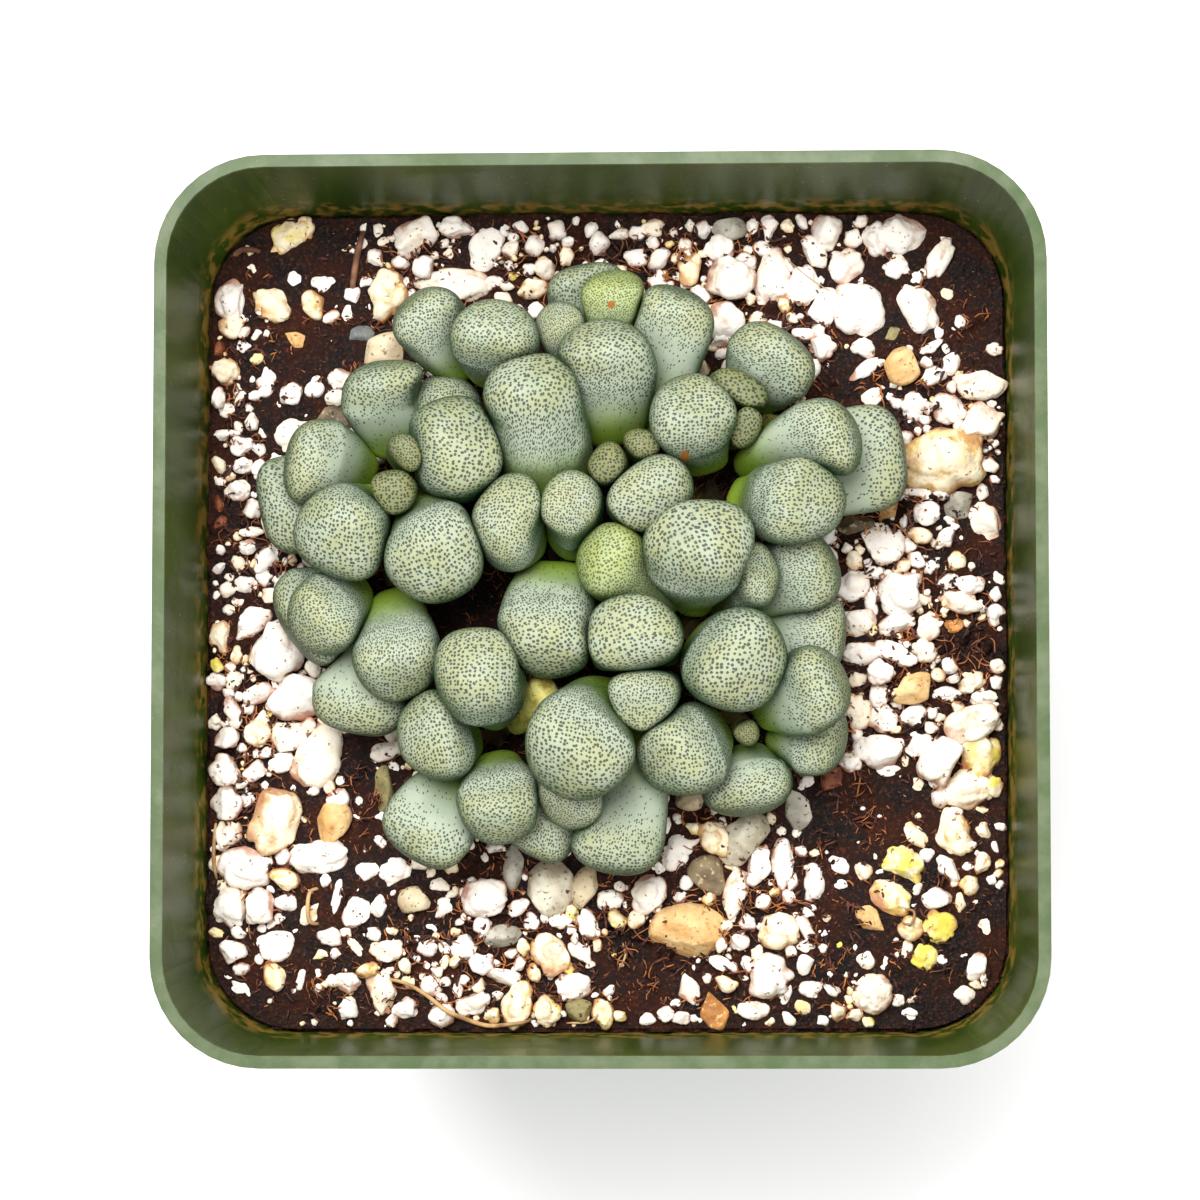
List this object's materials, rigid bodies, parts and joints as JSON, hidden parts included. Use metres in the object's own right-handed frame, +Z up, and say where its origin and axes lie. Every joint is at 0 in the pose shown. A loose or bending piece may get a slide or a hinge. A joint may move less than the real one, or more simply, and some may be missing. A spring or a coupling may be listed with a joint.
{
  "type": "potted succulent",
  "caption": "Small clump of fat, dotted, blue-green succulent leaves in a square tapered plastic nursery pot of peat and perlite mix.",
  "frame": {"origin": "centre of the pot's underside, on the surface that it stands on", "axes": "+Z up, +X to the pot's right, +Y to its back, as seen from above with +Y up the view"},
  "size_m": [0.0636, 0.065, 0.061],
  "materials": {
    "pot_plastic": "satin",
    "peat_mix": "matte",
    "root_bark": "matte",
    "pebble_stone": "matte",
    "leaf_skin": "satin",
    "young_leaf_skin": "satin",
    "yellow_leaf_skin": "satin"
  },
  "bodies": {
    "root": {"nursery_pot": "pot_plastic", "potting_mix": "peat_mix", "rootstock": "root_bark", "tan_pebble": "pebble_stone", "leaf_west_bud_back": "young_leaf_skin", "leaf_west_bud_front": "young_leaf_skin", "leaf_west_outer": "leaf_skin", "leaf_west_outer_low": "leaf_skin", "leaf_west_front": "leaf_skin", "leaf_west_inner": "leaf_skin", "leaf_west_right": "leaf_skin", "leaf_west_back": "leaf_skin", "leaf_west_low_front": "leaf_skin", "leaf_west_low_left": "leaf_skin", "leaf_west_low_outer": "leaf_skin", "leaf_west_low_skirt": "leaf_skin", "leaf_north_west_outer": "leaf_skin", "leaf_north_west_top": "leaf_skin", "leaf_north_west_small": "leaf_skin", "leaf_north_bud_left": "young_leaf_skin", "leaf_north_bud_right": "young_leaf_skin", "leaf_north_top": "leaf_skin", "leaf_north_front": "leaf_skin", "leaf_north_right": "leaf_skin", "leaf_north_back_scarred": "yellow_leaf_skin", "leaf_north_back_outer": "leaf_skin", "leaf_north_back_left": "leaf_skin", "leaf_north_east_left": "leaf_skin", "leaf_north_east_right": "leaf_skin", "leaf_north_east_outer": "leaf_skin", "leaf_north_east_front": "leaf_skin", "leaf_north_east_back": "leaf_skin", "leaf_north_east_young_back": "young_leaf_skin", "leaf_north_east_young_front": "young_leaf_skin", "leaf_middle_back": "leaf_skin", "leaf_middle_right": "leaf_skin", "leaf_middle_left": "leaf_skin", "leaf_middle_front": "leaf_skin", "leaf_east_top": "leaf_skin", "leaf_east_left": "leaf_skin", "leaf_east_front": "leaf_skin", "leaf_east_back": "leaf_skin", "leaf_east_right": "leaf_skin", "leaf_east_skirt": "leaf_skin", "leaf_south_bud_back": "young_leaf_skin", "leaf_south_bud_front": "young_leaf_skin", "leaf_south_left": "leaf_skin", "leaf_south_long": "leaf_skin", "leaf_south_under": "leaf_skin", "leaf_south_skirt": "leaf_skin", "leaf_south_east_bud": "young_leaf_skin", "leaf_south_east_left": "leaf_skin", "leaf_south_east_right": "leaf_skin", "leaf_south_east_low": "leaf_skin", "leaf_south_east_front": "leaf_skin", "leaf_south_west_top": "leaf_skin", "leaf_south_west_front": "leaf_skin", "leaf_south_west_left": "leaf_skin", "leaf_south_west_low": "leaf_skin", "leaf_south_west_withered": "yellow_leaf_skin"}
  },
  "joints": []
}
